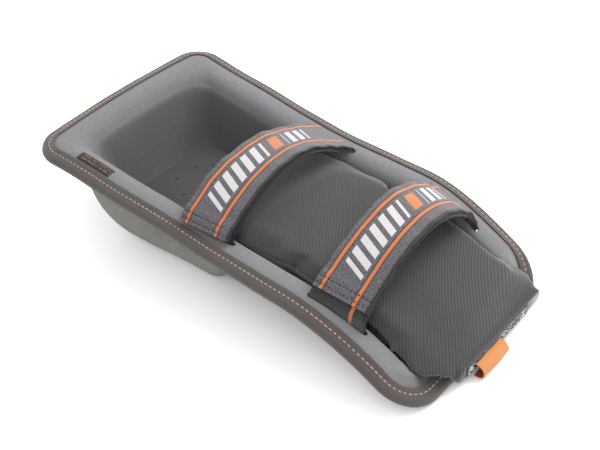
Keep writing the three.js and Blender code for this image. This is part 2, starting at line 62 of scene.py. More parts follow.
def D(v):
    x, y, z = v
    return Vector((x * CO + z * SI, y, -x * SI + z * CO))


# ------------------------------------------------------------- dimensions
X0, X1 = -190.0, 190.0
RIM_X = np.linspace(-190, 190, 9)
RIM_W = [98.5, 94.8, 93.6, 91.2, 90.8, 91.5, 91.4, 89.6, 88.6]
RIM_H = [6.3, 5.3, 4.0, 2.7, 1.8, 4.0, 4.2, -10.2, -33.8]
RIM_BOW, KNEE_CORNER, SHIN_CORNER = 4, 24, 32
LINER, GAP, FLANGE, SOLE = 1.6, 0.3, 4.1, 2.5
SHIN_UNDER, NOTCH_UNDER = -39.4, -32
STRAP_W, BAND_T, LOWER_T, HOOK_T, LAYER_GAP = 45, 2.0, 1.8, 1.2, 0.45
A_X, B_X = -10, 111


def smooth(xs, ys, x):
    xs, ys, x = np.asarray(xs, float), np.asarray(ys, float), np.asarray(x, float)
    n = len(xs) - 1
    m = np.empty(n + 1)
    m[0] = (ys[1] - ys[0]) / (xs[1] - xs[0])
    m[n] = (ys[n] - ys[n - 1]) / (xs[n] - xs[n - 1])
    m[1:n] = (ys[2:] - ys[:-2]) / (xs[2:] - xs[:-2])
    q = np.clip(x, xs[0], xs[n])
    i = np.clip(np.searchsorted(xs, q, side="right") - 1, 0, n - 1)
    h = xs[i + 1] - xs[i]
    t = (q - xs[i]) / h
    t2, t3 = t * t, t * t * t
    return (2 * t3 - 3 * t2 + 1) * ys[i] + (t3 - 2 * t2 + t) * h * m[i] + (-2 * t3 + 3 * t2) * ys[i + 1] + (t3 - t2) * h * m[i + 1]


def lerp(a, b, t):
    return a + (b - a) * t


def ease(t):
    u = np.clip(t, 0, 1)
    return u * u * (3 - 2 * u)


def half_width(x):
    return smooth(RIM_X, RIM_W, x)


def rim_z(x):
    return smooth(RIM_X, RIM_H, x)


def ground(x):
    return -72 + 0.12 * (np.asarray(x, float) + 70)


def floor_z(x):
    return lerp(ground(x) + 20, -28, ease((np.asarray(x, float) + 58) / 34))


def under_z(x):
    x = np.asarray(x, float)
    dome = ground(x) + SOLE + GAP
    r = lerp(SHIN_UNDER, dome, ease((x - 112) / 28))
    r = np.where(x < 30, lerp(NOTCH_UNDER, SHIN_UNDER, ease((x - 14) / 16)), r)
    r = np.where(x < 10, lerp(float(ground(-24)) + SOLE + GAP, NOTCH_UNDER, ease((x + 24) / 34)), r)
    return np.where(x < -24, dome, r)


N_END, N_CORNER = 6, 14
SIDE = np.linspace(0, 1, 97)
N_HALF = 2 * N_END + 2 * N_CORNER + len(SIDE) - 1
N_RING = 2 * N_HALF


def half_ring(side, knee, shin, rk, rs, bow):
    xk, xs, pts = X0 + knee, X1 - shin, []
    hk, hs = float(half_width(xk + rk)) - side, float(half_width(xs - rs)) - side

    def bow_x(y):
        return bow * (1 - (y / (hk - rk * 0.4)) ** 2)

    for i in range(N_END):
        y = (hk - rk) * i / N_END
        pts.append((xk - bow_x(y), y))
    for i in range(N_CORNER + 1):
        a = math.pi - math.pi / 2 * i / N_CORNER
        pts.append((xk + rk + rk * math.cos(a) - bow_x(hk - rk) * (1 - i / N_CORNER), hk - rk + rk * math.sin(a)))
    a, b = xk + rk, xs - rs
    for t in SIDE[1:]:
        x = lerp(a, b, t)
        pts.append((x, float(half_width(x)) - side))
    for i in range(1, N_CORNER + 1):
        t = math.pi / 2 - math.pi / 2 * i / N_CORNER
        pts.append((xs - rs + rs * math.cos(t), hs - rs + rs * math.sin(t)))
    for i in range(1, N_END + 1):
        pts.append((xs, (hs - rs) * (1 - i / N_END)))
    return np.array(pts)


def mirror_ring(half, z):
    """The whole ring from its half, anticlockwise from the middle of the knee end."""
    a = np.column_stack([half[:, 0], -half[:, 1], z])
    b = np.column_stack([half[:, 0], half[:, 1], z])[1:-1][::-1]
    return np.vstack([a, b])


PARENT = half_ring(0, 0, 0, KNEE_CORNER, SHIN_CORNER, RIM_BOW)
PZR = rim_z(PARENT[:, 0])
LIN = dict(
    side=[1.9, 11.5, 17, 22, 26.5, 30, 33, 36.5, 40.5, 46.5],
    knee=[1.9, 11.5, 17, 21.5, 25.5, 29.5, 34, 43, 48.5, 56],
    shin=[1.9, 11.5, 17, 22, 26.5, 30, 33, 36.5, 40.5, 46.5],
    rk=[22.1, 12.5, 12, 13, 15, 17, 19, 22, 24, 25],
    rs=[30.1, 20.5, 17, 16, 16, 16, 17, 18, 20, 22],
    bow=[4, 4, 4, 4, 4, 4, 4, 3, 2, 2],
)
DROP = [0, 0, 0, 0.9, 4.0, 9.5, 17]


def liner_ring(j):
    half = half_ring(*(LIN[k][j] for k in ("side", "knee", "shin", "rk", "rs", "bow")))
    x = half[:, 0]
    crest = PZR + 5.4
    if j > 1:
        crest = lerp(crest, rim_z(x) + 5.4, ease((half[:, 1] - 56) / 8) * (x > 0))
    d = crest - floor_z(x)
    q = np.clip(d / 36, -0.1, 1)
    if j == 0:
        z = PZR + 0.8 + 0.31 * 1.9
    elif j == 1:
        z = PZR + 0.8 + 0.31 * 11.5
    elif j <= 6:
        z = crest - DROP[j] * q
    else:
        z = crest - (17 * q + (d - 17 * q) * [0.62, 0.9, 1][j - 7])
    return mirror_ring(half, z)


OUT = dict(
    side=[1.9, 13, 24, 25, 22.2, 20.6, 21.2, 24.5, 30, 38, 48],
    knee=[1.9, 13, 20, 22, 24, 27, 33, 41, 50, 60, 72],
    shin=[1.9, 10, 13, 14, 15, 16, 18, 20, 23, 27, 32],
    rk=[22.1, 11, 12, 14, 18, 22, 24, 26, 28, 28, 26],
    rs=[30.1, 19, 18, 18, 19, 20, 20, 20, 20, 20, 20],
    bow=[4, 4, 4, 4, 4, 4, 4, 4, 3, 2, 0],
)
OUT_G = [0, 0, 0, 0.05, 0.25, 0.45, 0.63, 0.79, 0.91, 0.98, 1]


def out_ring(j):
    half = half_ring(*(OUT[k][j] for k in ("side", "knee", "shin", "rk", "rs", "bow")))
    fl = PZR + 0.8 + 0.31 * min(OUT["side"][j], 13) - FLANGE
    if j < 3:
        z = fl - (0.6 if j == 2 else 0)
    else:
        z = lerp(PZR + 0.8 + 0.31 * 13 - FLANGE - 0.6, under_z(half[:, 0]), OUT_G[j])
    return mirror_ring(half, z)


def spline(rows, per, first=0):
    """Catmull-Rom rows through the given rows; the rows before first stay straight."""
    rows, out = [np.asarray(r, float) for r in rows], []
    n = len(rows)
    for i in range(n - 1):
        p0, p1, p2, p3 = rows[max(i - 1, 0)], rows[i], rows[i + 1], rows[min(i + 2, n - 1)]
        for k in range(per):
            t = k / per
            if i < first:
                out.append(lerp(p1, p2, t))
            else:
                out.append(0.5 * (2 * p1 + (p2 - p0) * t + (2 * p0 - 5 * p1 + 4 * p2 - p3) * t * t + (3 * p1 - p0 - 3 * p2 + p3) * t ** 3))
    out.append(rows[-1])
    return np.array(out)


# ---------------------------------------------------------------- objects
def link(name, me, mats, body, smooth=True, angle=None):
    ob = bpy.data.objects.new(name, me)
    scene.collection.objects.link(ob)
    for m in mats:
        me.materials.append(m)
    if smooth:
        me.shade_smooth()
        if angle:
            bm = bmesh.new()
            bm.from_mesh(me)
            for e in bm.edges:
                e.smooth = not (len(e.link_faces) == 2 and e.calc_face_angle(0) > math.radians(angle))
            bm.to_mesh(me)
            bm.free()
    if body:
        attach(ob, body)
    return ob


def make_mesh(name, verts, faces, uvs=None, merge=0.0):
    """verts in millimetres of the drawing frame; uvs in millimetres, one per vertex"""
    me = bpy.data.meshes.new(name)
    me.from_pydata([tuple(v) for v in W(np.asarray(verts))], [], [tuple(int(i) for i in f) for f in faces])
    if uvs is not None:
        lay = me.uv_layers.new(name="mm")
        idx = np.zeros(len(me.loops), np.int32)
        me.loops.foreach_get("vertex_index", idx)
        lay.data.foreach_set("uv", np.asarray(uvs, np.float32)[idx].ravel())
    bm = bmesh.new()
    bm.from_mesh(me)
    if merge:
        bmesh.ops.remove_doubles(bm, verts=bm.verts, dist=merge / 1000)
        bmesh.ops.dissolve_degenerate(bm, dist=1e-7, edges=bm.edges)
    bmesh.ops.recalc_face_normals(bm, faces=bm.faces)
    bm.to_mesh(me)
    bm.free()
    return me


def grid_faces(rows, cols, wrap=True, base=0):
    f, n = [], cols if wrap else cols - 1
    for i in range(rows - 1):
        for k in range(n):
            l = (k + 1) % cols
            f.append((base + i * cols + k, base + i * cols + l, base + (i + 1) * cols + l, base + (i + 1) * cols + k))
    return f


def cap_rings(ring, zfun, steps, xa, xb):
    """rings that close a ring onto its middle line"""
    mx = np.clip(ring[:, 0], xa, xb)
    mid = np.column_stack([mx, np.zeros(len(mx)), zfun(mx)])
    out = []
    for k in range(1, steps + 1):
        t = k / steps
        p = lerp(ring, mid, t)
        p[:, 2] = lerp(p[:, 2], zfun(p[:, 0]), 1 if k > 1 or steps == 1 else 0.6)
        out.append(p)
    return out


def offset_grid(rows, d):
    rows = np.asarray(rows)
    ar = np.roll(rows, -1, 1) - np.roll(rows, 1, 1)
    ac = np.empty_like(rows)
    ac[1:-1] = rows[2:] - rows[:-2]
    ac[0], ac[-1] = rows[1] - rows[0], rows[-1] - rows[-2]
    n = np.cross(ar, ac)
    n /= np.maximum(np.linalg.norm(n, axis=2, keepdims=True), 1e-9)
    n *= np.where(n[..., 2:3] < 0, -1, 1)
    return rows - n * d


# -------------------------------------------------------------- materials
ALBEDO = 0.69


def lin(r, g, b):
    r, g, b = r * ALBEDO, g * ALBEDO, b * ALBEDO
    return tuple(((c / 255 + 0.055) / 1.055) ** 2.4 if c > 10.3 else c / 255 / 12.92 for c in (r, g, b)) + (1.0,)


class Mat:
    """a small builder of procedural materials"""

    def __init__(self, name, rough=0.8, sheen=0.0, spec=0.3, coat=0.0):
        self.m = bpy.data.materials.new(name)
        self.m.use_nodes = True
        self.t = self.m.node_tree
        self.b = self.t.nodes["Principled BSDF"]
        self.b.inputs["Roughness"].default_value = rough
        self.b.inputs["Specular IOR Level"].default_value = spec
        if sheen:
            self.b.inputs["Sheen Weight"].default_value = sheen
            self.b.inputs["Sheen Roughness"].default_value = 0.5
        if coat:
            self.b.inputs["Coat Weight"].default_value = coat
        self.tc = self.t.nodes.new("ShaderNodeTexCoord")
        self.uv = self.tc.outputs["UV"]
        self.obj = self.tc.outputs["Object"]

    def n(self, kind, **inputs):
        nd = self.t.nodes.new(kind)
        for k, v in inputs.items():
            self.put(nd.inputs[k.replace("_", " ")], v)
        return nd

    def put(self, sock, v):
        if isinstance(v, bpy.types.NodeSocket):
            self.t.links.new(v, sock)
        else:
            sock.default_value = v

    def math(self, op, a, b=None, c=None, clamp=False):
        nd = self.t.nodes.new("ShaderNodeMath")
        nd.operation, nd.use_clamp = op, clamp
        for i, v in enumerate((a, b, c)):
            if v is not None:
                self.put(nd.inputs[i], v)
        return nd.outputs[0]

    def xyz(self, vec):
        nd = self.t.nodes.new("ShaderNodeSeparateXYZ")
        self.put(nd.inputs[0], vec)
        return nd.outputs

    def noise(self, vec, scale, detail=2.0, rough=0.5):
        nd = self.t.nodes.new("ShaderNodeTexNoise")
        self.put(nd.inputs["Vector"], vec)
        nd.inputs["Scale"].default_value = scale
        nd.inputs["Detail"].default_value = detail
        nd.inputs["Roughness"].default_value = rough
        return nd.outputs[0]

    def mix(self, f, a, b):
        nd = self.t.nodes.new("ShaderNodeMix")
        nd.data_type = "RGBA"
        self.put(nd.inputs[0], f)
        self.put(nd.inputs[6], a)
        self.put(nd.inputs[7], b)
        return nd.outputs[2]

    def ramp(self, v, lo, hi):
        nd = self.t.nodes.new("ShaderNodeMapRange")
        self.put(nd.inputs["Value"], v)
        nd.inputs["From Min"].default_value, nd.inputs["From Max"].default_value = lo, hi
        return nd.outputs[0]

    def wave(self, v, pitch, phase=0.0):
        """0..1 sine of v with that pitch"""
        s = self.math("SINE", self.math("MULTIPLY_ADD", v, 2 * math.pi / pitch, phase))
        return self.math("MULTIPLY_ADD", s, 0.5, 0.5)

    def band(self, v, centre, half, soft=0.15):
        """1 inside centre +- half"""
        d = self.math("ABSOLUTE", self.math("SUBTRACT", v, centre))
        return self.math("SUBTRACT", 1.0, self.ramp(d, half - soft, half + soft), clamp=True)

    def colour(self, c):
        self.put(self.b.inputs["Base Color"], c)
        return self

    def bump(self, h, dist, strength=1.0):
        nd = self.t.nodes.new("ShaderNodeBump")
        nd.inputs["Strength"].default_value = strength
        nd.inputs["Distance"].default_value = dist
        self.put(nd.inputs["Height"], h)
        self.t.links.new(nd.outputs[0], self.b.inputs["Normal"])
        return self


def liner_material():
    m = Mat("liner_laminate", rough=0.88, sheen=0.15, spec=0.2)
    fine = m.noise(m.obj, 900, 3)
    broad = m.noise(m.obj, 22, 3)
    at = m.t.nodes.new("ShaderNodeAttribute")
    at.attribute_name = "depth"
    # painted shade: the liner's colour darkens towards the cup's walls and floor, driven by the depth attribute
    base = m.mix(at.outputs["Fac"], lin(*LINER_TOP), lin(*LINER_PAINTED_SHADE))
    f = m.math("ADD", m.math("MULTIPLY", fine, 0.6), m.math("MULTIPLY", broad, 0.4))
    grain = m.noise(m.obj, 330, 4, 0.75)
    c = m.mix(m.math("MULTIPLY", m.ramp(f, 0.35, 0.7), 0.2), base, lin(112, 112, 114))
    c = m.mix(m.math("MULTIPLY", m.ramp(grain, 0.40, 0.68), 0.24), c, lin(84, 84, 86))
    m.colour(c)
    m.bump(m.math("ADD", grain, fine), 0.0004, 0.6)
    return m.m


# the second colour is the painted shade of the cup's walls and floor
LINER_TOP, LINER_PAINTED_SHADE = (146, 146, 148), (106, 106, 107)


def foam_material():
    m = Mat("shell_foam", rough=0.9, spec=0.25)
    speck = m.t.nodes.new("ShaderNodeTexVoronoi")
    m.put(speck.inputs["Vector"], m.obj)
    speck.inputs["Scale"].default_value = 420
    broad = m.noise(m.obj, 18, 3)
    c = m.mix(m.ramp(broad, 0.3, 0.7), lin(186, 186, 180), lin(152, 152, 146))
    c = m.mix(m.math("MULTIPLY", m.ramp(speck.outputs["Distance"], 0.0, 0.55), 0.4), c, lin(96, 96, 92))
    m.colour(c)
    m.bump(speck.outputs["Distance"], 0.0006, 0.6)
    return m.m


def weave_material(name, base, dark, pitch=0.9, rough=0.85, depth=0.0003, sheen=0.2):
    m = Mat(name, rough=rough, sheen=sheen, spec=0.25)
    u, v, _ = m.xyz(m.uv)
    w = m.math("MULTIPLY", m.wave(m.math("ADD", u, v), pitch), m.wave(m.math("SUBTRACT", u, v), pitch))
    grain = m.noise(m.uv, 0.9, 3)
    f = m.math("ADD", m.math("MULTIPLY", w, 0.7), m.math("MULTIPLY", grain, 0.5))
    m.colour(m.mix(m.ramp(f, 0.1, 0.9), lin(*dark), lin(*base)))
    m.bump(w, depth, 0.8)
    return m.m


def webbing_material(name, print_from, print_to, dark=False):
    """heathered elastic: u runs across the band, v along it, in millimetres"""
    m = Mat(name, rough=0.82, sheen=0.25, spec=0.3)
    u, v, _ = m.xyz(m.uv)
    rib = m.wave(v, 1.15)
    cross = m.wave(u, 0.8)
    comb = m.t.nodes.new("ShaderNodeCombineXYZ")
    m.put(comb.inputs[0], m.math("MULTIPLY", u, 2.6))
    m.put(comb.inputs[1], m.math("MULTIPLY", v, 0.8))
    heather = m.noise(comb.outputs[0], 0.62, 6, 0.8)
    # dark=True gives the same webbing painted darker: painted shade for the base bands and tails
    lo, hi = ((30, 29, 31), (62, 60, 64)) if dark else ((58, 55, 60), (138, 134, 141))
    c = m.mix(m.ramp(heather, 0.43, 0.58), lin(*lo), lin(*hi))
    c = m.mix(m.math("MULTIPLY", rib, 0.28), c, lin(36, 35, 38))
    au = m.math("ABSOLUTE", u)
    # two stripes on the closing band, one on the base band
    su = m.math("ABSOLUTE", m.math("ADD", u, 2.65)) if not dark else m.math("ADD", u, 2.65)
    # dark lines either side of each stripe, the stripe itself, and the dark woven edge; the edge's wider band on the +u
    # side is partly painted shade
    c = m.mix(m.math("MULTIPLY", m.band(su, 13.15, 2.3, 0.25), 0.8), c, lin(38, 36, 40))
    stripe = m.band(su, 13.15, 1.25, 0.2)
    c = m.mix(stripe, c, m.mix(m.math("MULTIPLY", rib, 0.35), lin(236, 130, 66), lin(196, 92, 44)))
    # the dark edge is real on both sides; its wider band at +u is painted shade
    c = m.mix(m.math("MULTIPLY", m.math("MAXIMUM", m.band(u, 22.6, 3.0, 0.5), m.band(u, -22.4, 1.0, 0.3)), 0.93), c, lin(22, 21, 24))
    mark = None
    if print_to > print_from:
        slope = m.math("MULTIPLY_ADD", u, 0.42, v)
        runs = m.math("MAXIMUM", m.band(slope, print_from + 31.0, 29.5, 0.1), m.band(slope, print_to - 13.0, 13.5, 0.1))
        inside = m.math("MULTIPLY", runs, m.band(u, -2.65, 8.6, 0.15))
        bars = m.math("GREATER_THAN", m.wave(slope, 9.8, 0.6), 0.36)
        accent = m.math("MULTIPLY", m.band(slope, print_from + 72.0, 5.0, 0.1), m.band(u, -2.65, 7.4, 0.15))
        mark = m.math("MAXIMUM", m.math("MULTIPLY", inside, bars), accent)
        ink = m.mix(accent, lin(236, 233, 236), lin(238, 134, 62))
        c = m.mix(m.math("MULTIPLY", mark, 0.96), c, ink)
    m.colour(c)
    h = m.math("ADD", rib, m.math("MULTIPLY", cross, 0.6))
    if mark is not None:
        h = m.math("MULTIPLY_ADD", mark, 0.5, h)
    m.bump(h, 0.00025, 0.7)
    return m.m


def cushion_material():
    m = Mat("cushion_knit", rough=0.86, sheen=0.3, spec=0.22)
    x, y, z = m.xyz(m.obj)
    wob = m.math("MULTIPLY", m.noise(m.obj, 11, 2), 0.011)
    s = m.math("ADD", m.math("MULTIPLY_ADD", x, 0.80, m.math("MULTIPLY", y, 0.60)), wob)
    t = m.math("SUBTRACT", m.math("MULTIPLY", x, 0.60), m.math("MULTIPLY", y, 0.80))
    rib = m.wave(s, 0.0023)
    cross = m.wave(t, 0.0013)
    fade = m.ramp(m.noise(m.obj, 13, 2), 0.36, 0.62)
    f = m.math("MULTIPLY_ADD", m.math("MULTIPLY", rib, m.math("MULTIPLY_ADD", cross, 0.35, 0.65)), m.math("MULTIPLY_ADD", fade, 0.75, 0.25), m.math("MULTIPLY", m.noise(m.obj, 260, 2), 0.3))
    grain = m.noise(m.obj, 700, 2)
    c = m.mix(m.ramp(f, 0.1, 1.1), lin(56, 55, 55), lin(84, 83, 82))
    c = m.mix(m.math("MULTIPLY", m.ramp(grain, 0.35, 0.7), 0.25), c, lin(46, 45, 45))
    m.colour(c)
    m.bump(f, 0.0004, 0.55)
    return m.m


def pad_material(holes):
    m = Mat("knee_pad_foam", rough=0.72, sheen=0.1, spec=0.3)
    x, y, z = m.xyz(m.obj)
    hole = None
    for hx, hy in holes:
        d = m.math("SQRT", m.math("ADD", m.math("POWER", m.math("SUBTRACT", x, hx), 2.0), m.math("POWER", m.math("SUBTRACT", y, hy), 2.0)))
        k = m.math("SUBTRACT", 1.0, m.ramp(d, 0.0015, 0.0022), clamp=True)
        hole = k if hole is None else m.math("MAXIMUM", hole, k)
    grain = m.noise(m.obj, 620, 3)
    broad = m.noise(m.obj, 16, 3)
    c = m.mix(m.ramp(broad, 0.3, 0.7), lin(78, 76, 76), lin(68, 66, 66))
    c = m.mix(m.math("MULTIPLY", m.ramp(grain, 0.35, 0.7), 0.2), c, lin(64, 62, 62))
    # the holes are painted dark: painted shade in the recesses, with the bump giving their dip
    c = m.mix(m.math("MULTIPLY", hole, 0.85), c, lin(34, 33, 33))
    m.colour(c)
    m.bump(m.math("SUBTRACT", m.math("MULTIPLY", grain, 0.15), hole), 0.0016, 0.8)
    return m.m


def thread_material(name, base, dark):
    m = Mat(name, rough=0.6, spec=0.4)
    u, v, _ = m.xyz(m.uv)
    ply = m.wave(m.math("MULTIPLY_ADD", u, 1.6, v), 0.8)
    c = m.mix(ply, lin(*dark), lin(*base))
    m.colour(m.mix(m.math("MULTIPLY", m.noise(m.obj, 400, 2), 0.3), c, lin(*dark)))
    m.bump(ply, 0.0002, 0.8)
    return m.m


def label_material(name, ink, accent, rows, pitch, duty, margin_u, margin_v):
    """black satin with rows of short pale bars standing for print; u along, v across, in mm"""
    m = Mat(name, rough=0.5, spec=0.45)
    u, v, _ = m.xyz(m.uv)
    sat = m.wave(v, 0.5)
    c = m.mix(m.math("MULTIPLY", sat, 0.4), lin(30, 30, 32), lin(46, 45, 48))
    comb = m.t.nodes.new("ShaderNodeCombineXYZ")
    m.put(comb.inputs[0], m.math("FLOOR", m.math("DIVIDE", u, pitch)))
    m.put(comb.inputs[1], m.math("FLOOR", m.math("DIVIDE", v, rows)))
    wn = m.t.nodes.new("ShaderNodeTexWhiteNoise")
    wn.noise_dimensions = "2D"
    m.put(wn.inputs["Vector"], comb.outputs[0])
    pick = m.math("LESS_THAN", wn.outputs["Value"], duty)
    fu = m.math("FRACT", m.math("DIVIDE", u, pitch))
    fv = m.math("FRACT", m.math("DIVIDE", v, rows))
    cell = m.math("MULTIPLY", m.math("LESS_THAN", fu, 0.66), m.math("MULTIPLY", m.math("GREATER_THAN", fv, 0.28), m.math("LESS_THAN", fv, 0.74)))
    inside = m.math("MULTIPLY", m.band(u, 0.0, margin_u, 0.1), m.band(v, 0.0, margin_v, 0.1))
    ink_f = m.math("MULTIPLY", m.math("MULTIPLY", pick, cell), inside)
    c = m.mix(ink_f, c, m.mix(m.math("GREATER_THAN", wn.outputs["Value"], duty * 0.8), lin(*ink), lin(*accent)))
    m.colour(c)
    m.bump(sat, 0.00012, 0.6)
    return m.m


def rubber_material():
    m = Mat("sole_rubber", rough=0.7, spec=0.4)
    x, y, z = m.xyz(m.obj)
    g = m.math("MULTIPLY", m.wave(m.math("ADD", x, y), 0.006), m.wave(m.math("SUBTRACT", x, y), 0.006))
    grain = m.noise(m.obj, 500, 3)
    m.colour(m.mix(m.ramp(m.math("MULTIPLY_ADD", grain, 0.5, g), 0.1, 1.1), lin(34, 34, 34), lin(60, 60, 59)))
    m.bump(g, 0.0008, 0.8)
    return m.m


def hook_material():
    m = Mat("hook_and_loop", rough=0.95, sheen=0.3, spec=0.15)
    vor = m.t.nodes.new("ShaderNodeTexVoronoi")
    m.put(vor.inputs["Vector"], m.obj)
    vor.inputs["Scale"].default_value = 900
    m.colour(m.mix(m.ramp(vor.outputs["Distance"], 0.0, 0.6), lin(48, 48, 48), lin(18, 18, 18)))
    m.bump(vor.outputs["Distance"], 0.0008, 1.0)
    return m.m


def knit_sheet_material():
    m = Mat("base_sheet_knit", rough=0.9, sheen=0.2, spec=0.2)
    x, y, z = m.xyz(m.obj)
    w = m.math("MULTIPLY", m.wave(x, 0.0016), m.wave(y, 0.0012))
    m.colour(m.mix(m.math("MULTIPLY_ADD", m.noise(m.obj, 60, 2), 0.4, m.math("MULTIPLY", w, 0.6)), lin(54, 54, 53), lin(84, 83, 82)))
    m.bump(w, 0.0003, 0.7)
    return m.m


M_LINER = liner_material()
M_FOAM = foam_material()
M_BIND = weave_material("binding_tape", (103, 96, 91), (70, 65, 62), pitch=1.25, depth=0.0003)
M_TAB = weave_material("tab_ribbon", (252, 178, 104), (232, 140, 74), pitch=0.9, rough=0.65, depth=0.0002, sheen=0.1)
# a darker copy of the tab ribbon: painted shade for the inner side of the loop
M_TAB_SHADE = weave_material("tab_ribbon_painted_shade", (214, 96, 68), (178, 66, 48), pitch=0.9, rough=0.7, depth=0.0002, sheen=0.1)
M_THREAD = thread_material("rim_thread", (272, 218, 192), (216, 160, 132))
M_BLACK = thread_material("black_thread", (40, 39, 42), (16, 16, 17))
M_HOOK = hook_material()
M_RUBBER = rubber_material()
M_SHEET = knit_sheet_material()
M_CUSHION = cushion_material()
M_WEB_A = webbing_material("webbing_strap_a", 19.0, 128.0)
M_WEB_B = webbing_material("webbing_strap_b", 19.0, 128.0)
# base bands and tails: the same webbing as the straps, with painted shade
M_WEB_PAINTED_SHADE = webbing_material("webbing_painted_shade", 0.0, 0.0, dark=True)

# ----------------------------------------------------------- liner and shell
lin_ctrl = [liner_ring(j) for j in range(10)]
lin_top = spline(lin_ctrl, 5)
CAP_A, CAP_B = lin_ctrl[9][:, 0].min() + 25, lin_ctrl[9][:, 0].max() - 22
low_floor = lambda x: floor_z(x) - LINER


def solid_of(top, low, top_cap, low_cap):
    """closed solid from two stacks of rings that share their outer edge"""
    t = np.vstack([np.asarray(top), np.asarray(top_cap)])
    l = np.vstack([np.asarray(low), np.asarray(low_cap)])
    n = t.shape[1]
    verts = np.vstack([t.reshape(-1, 3), l.reshape(-1, 3)])
    f = grid_faces(len(t), n) + grid_faces(len(l), n, base=len(t) * n)
    for k in range(n):
        q = (k + 1) % n
        f.append((k, q, len(t) * n + q, len(t) * n + k))
    return verts, f


lin_low = offset_grid(lin_top, LINER)
verts, faces = solid_of(lin_top, lin_low, cap_rings(lin_top[-1], floor_z, 6, CAP_A, CAP_B), cap_rings(lin_low[-1], low_floor, 6, CAP_A, CAP_B))
liner_me = make_mesh("liner", verts, faces, merge=0.004)
shell_top = offset_grid(spline(lin_ctrl, 2), LINER + GAP + 0.25)
out_low = spline([out_ring(j) for j in range(11)], 4, first=2)
oA, oB = out_low[-1][:, 0].min() + 26, out_low[-1][:, 0].max() - 20
shell_floor = lambda x: floor_z(x) - LINER - GAP - 0.25
verts, faces = solid_of(shell_top, out_low, cap_rings(shell_top[-1], shell_floor, 3, CAP_A, CAP_B), cap_rings(out_low[-1], under_z, 6, oA, oB))
shell_me = make_mesh("shell", verts, faces, merge=0.004)

SLOTS = [(A_X, 73, 2.5, 20, -14), (B_X, 71, 3.0, 26, -14)]


def slot_cutter():
    v, f = [], []
    for x, y, slant, top, low in SLOTS:
        for side in (-1, 1):
            a = -side * math.atan2(2 * slant, STRAP_W)
            hx, hy = (STRAP_W + 3.6) / 2, 2.3
            pl, n = [], 6
            for cx, cy, a0 in ((hx - 2.2, hy - 2.2, 0), (-hx + 2.2, hy - 2.2, 90), (-hx + 2.2, -hy + 2.2, 180), (hx - 2.2, -hy + 2.2, 270)):
                for k in range(n + 1):
                    t = math.radians(a0 + 90 * k / n)
                    pl.append((cx + 2.2 * math.cos(t), cy + 2.2 * math.sin(t)))
            b, m = len(v), len(pl)
            for z in (low, top):
                for px, py in pl:
                    v.append((x + px * math.cos(a) - py * math.sin(a), side * y + px * math.sin(a) + py * math.cos(a), z))
            f += [tuple(b + k for k in range(m)), tuple(b + m + k for k in range(m))]
            f += [(b + k, b + (k + 1) % m, b + m + (k + 1) % m, b + m + k) for k in range(m)]
    me = make_mesh("cutter", v, f)
    ob = bpy.data.objects.new("cutter", me)
    scene.collection.objects.link(ob)
    return ob


cutter = slot_cutter()


def cut(me):
    ob = bpy.data.objects.new("tmp_cut", me)
    scene.collection.objects.link(ob)
    mod = ob.modifiers.new("b", "BOOLEAN")
    mod.operation, mod.solver, mod.object = "DIFFERENCE", "EXACT", cutter
    dg = bpy.context.evaluated_depsgraph_get()
    dg.update()
    out = bpy.data.meshes.new_from_object(ob.evaluated_get(dg))
    bpy.data.objects.remove(ob)
    return out


liner_me, shell_me = cut(liner_me), cut(shell_me)
bpy.data.objects.remove(cutter)


def add_painted_shade_depth(me):
    """how far a point lies below the crest of the rim, 0 at the rim and 1 from 30 mm down; it sets how much painted
    shade the liner's colour gets
    """
    co = np.array([v.co for v in me.vertices]) * 1000
    x = (co[:, 0] - PX) * CO - (co[:, 2] - PZ) * SI
    z = (co[:, 0] - PX) * SI + (co[:, 2] - PZ) * CO
    d = rim_z(x) + 5.4 - z
    wall = np.clip((half_width(x) - np.abs(co[:, 1]) - 19) / 12, 0, 1)
    end = np.clip((x - X0 - 18) / 12, 0, 1)
    t = np.clip((d - 1.5) / 16, 0, 1) * np.minimum(wall, end)
    at = me.attributes.new("depth", "FLOAT", "POINT")
    at.data.foreach_set("value", (t * t * (3 - 2 * t)).astype(np.float32))


add_painted_shade_depth(liner_me)
liner = link("liner", liner_me, [M_LINER], "pad_shell", angle=48)
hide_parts("inner_liner")
shell = link("shell", shell_me, [M_FOAM], "pad_shell", angle=48)
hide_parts("outer_shell")


# ------------------------------------------------------------- rim binding
def lip(o):
    return 0.8 + 0.31 * o


def bot(o):
    return lip(o) - FLANGE


def tape_ring(o, dz):
    half = half_ring(o, o, o, KNEE_CORNER - o, SHIN_CORNER - o, RIM_BOW)
    return mirror_ring(half, PZR + dz)


outer = [(10.9, bot(10.8) - 0.35), (10.8, bot(10.8) - 1.2), (9.6, bot(9.6) - 1.45), (6.2, bot(6.2) - 1.3), (2.6, bot(2.6) - 1.2), (1.0, bot(1.0) - 0.7), (0.15, bot(0) + 0.8), (-0.1, 0.2 - 1.4),
         (0.15, lip(0) - 0.7), (1.0, lip(1.0) + 0.75), (2.6, lip(2.6) + 1.35), (6.2, lip(6.2) + 1.15), (9.6, lip(9.6) + 1.55), (10.8, lip(10.8) + 1.3), (10.9, lip(10.8) + 0.35)]
inner = [(6.0, lip(6) + 0.3), (1.7, lip(1.6) + 0.3), (1.7, bot(1.6) - 0.3), (6.0, bot(6) - 0.3)]
prof = [tuple(p) for p in spline(outer, 3)] + inner
rings = [tape_ring(o, dz) for o, dz in prof]
arc = np.zeros(N_RING + 1)
loop = np.vstack([tape_ring(0, 0), tape_ring(0, 0)[:1]])
arc[1:] = np.cumsum(np.linalg.norm(np.diff(loop, axis=0), axis=1))
pv = np.concatenate([[0], np.cumsum([math.dist(prof[i], prof[i + 1]) for i in range(len(prof) - 1)])])
